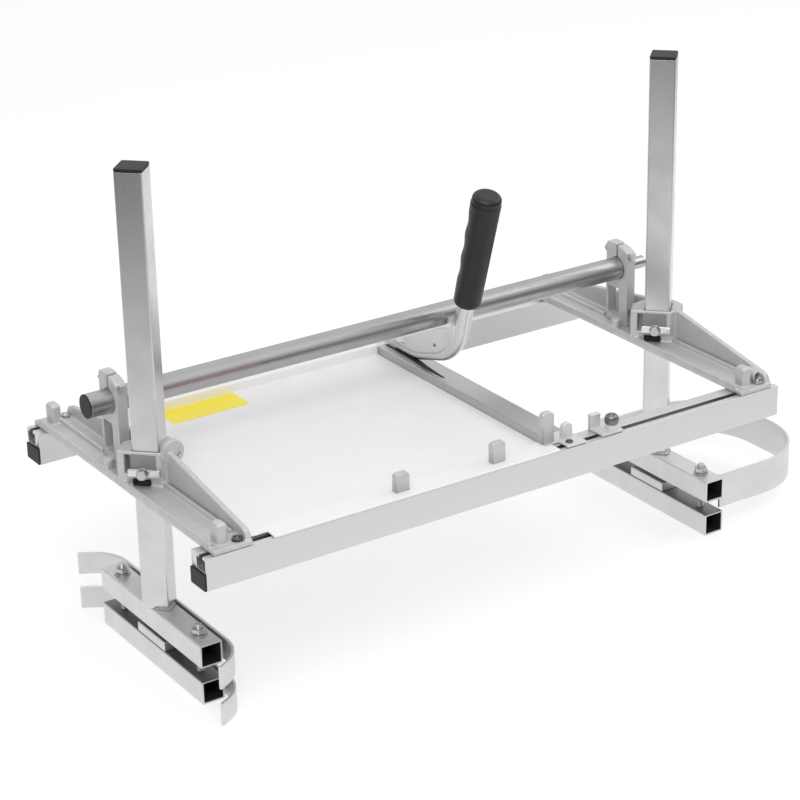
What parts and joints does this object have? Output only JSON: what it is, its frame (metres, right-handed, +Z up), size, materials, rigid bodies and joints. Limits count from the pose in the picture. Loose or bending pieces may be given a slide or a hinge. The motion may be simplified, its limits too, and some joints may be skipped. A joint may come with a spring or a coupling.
{
  "type": "chainsaw log cutting frame",
  "caption": "Slotted rail frame on two sliding posts whose clamps grip a chainsaw's guide bar, with a handle on the cross bar.",
  "frame": {"origin": "on the floor under the middle of the whole frame's box", "axes": "+X along the rails towards the nose guard, +Y from the front rail to the rear rail, +Z up along the posts"},
  "size_m": [0.835, 0.376, 0.524],
  "materials": {
    "rail_aluminium": "plain drawn profile",
    "casting": "sand cast, dull",
    "zinc_steel": "bright zinc plated",
    "tube_zinc": "bright zinc plated",
    "handle_metal": "smooth cast",
    "fastener_steel": "zinc plated",
    "white_sheet": "white coated sheet",
    "black_plug": "moulded",
    "grip_rubber": "smooth moulded rubber"
  },
  "bodies": {
    "frame": {"rail_front": "rail_aluminium", "rail_rear": "rail_aluminium", "plug_front_left": "black_plug", "plug_front_right": "black_plug", "plug_rear_left": "black_plug", "plug_rear_right": "black_plug", "left_bracket": "casting", "left_tube_bracket": "casting", "left_pinch_bolt": "fastener_steel", "left_foot_bolt_front": "fastener_steel", "left_foot_bolt_rear": "fastener_steel", "left_saddle": "zinc_steel", "left_post_screw": "fastener_steel", "push_tube": "tube_zinc", "tube_plug_left": "black_plug", "tube_plug_right": "fastener_steel", "cover_plate": "white_sheet", "peg_left": "casting", "peg_right": "casting"},
    "cross_bar": {"cross_bar": "rail_aluminium", "bar_foot": "casting", "bar_bolt": "fastener_steel", "bar_peg": "casting", "handle_tube": "handle_metal", "handle_plate": "handle_metal", "handle_grip": "grip_rubber"},
    "slot_stop": {"slot_block": "casting", "slot_knob": "fastener_steel"},
    "right_end": {"right_bracket": "casting", "right_tube_bracket": "casting", "right_pinch_bolt": "fastener_steel", "right_foot_bolt_front": "fastener_steel", "right_foot_bolt_rear": "fastener_steel", "right_saddle": "zinc_steel", "right_post_screw": "fastener_steel"},
    "left_post": {"left_post": "zinc_steel", "left_post_cap": "black_plug", "left_upper_tube": "zinc_steel", "left_upper_skid": "zinc_steel", "left_nut_front": "fastener_steel", "left_nut_rear": "fastener_steel"},
    "left_jaw": {"left_lower_tube": "zinc_steel", "left_pad": "zinc_steel", "left_lower_skid": "zinc_steel", "left_bolt_front": "fastener_steel", "left_bolt_rear": "fastener_steel"},
    "right_post": {"right_post": "zinc_steel", "right_post_cap": "black_plug", "right_upper_tube": "zinc_steel", "nose_guard": "zinc_steel", "right_nut_front": "fastener_steel", "right_nut_rear": "fastener_steel"},
    "right_jaw": {"right_lower_tube": "zinc_steel", "right_pad": "zinc_steel", "right_bolt_front": "fastener_steel", "right_bolt_rear": "fastener_steel"}
  },
  "joints": [
    {"name": "cross_bar_slide", "type": "slide", "parent": "frame", "child": "cross_bar", "axis": [1, 0, 0], "range_m": [0, 0.018]},
    {"name": "slot_stop_slide", "type": "slide", "parent": "frame", "child": "slot_stop", "axis": [1, 0, 0], "range_m": [0, 0.06]},
    {"name": "right_end_slide", "type": "slide", "parent": "frame", "child": "right_end", "axis": [1, 0, 0], "range_m": [-0.08, 0]},
    {"name": "left_post_slide", "type": "slide", "parent": "frame", "child": "left_post", "axis": [0, 0, 1], "range_m": [-0.28, 0.08]},
    {"name": "right_post_slide", "type": "slide", "parent": "right_end", "child": "right_post", "axis": [0, 0, 1], "range_m": [-0.28, 0.08]},
    {"name": "left_jaw_slide", "type": "slide", "parent": "left_post", "child": "left_jaw", "axis": [0, 0, 1], "range_m": [-0.006, 0]},
    {"name": "right_jaw_slide", "type": "slide", "parent": "right_post", "child": "right_jaw", "axis": [0, 0, 1], "range_m": [-0.006, 0]}
  ]
}
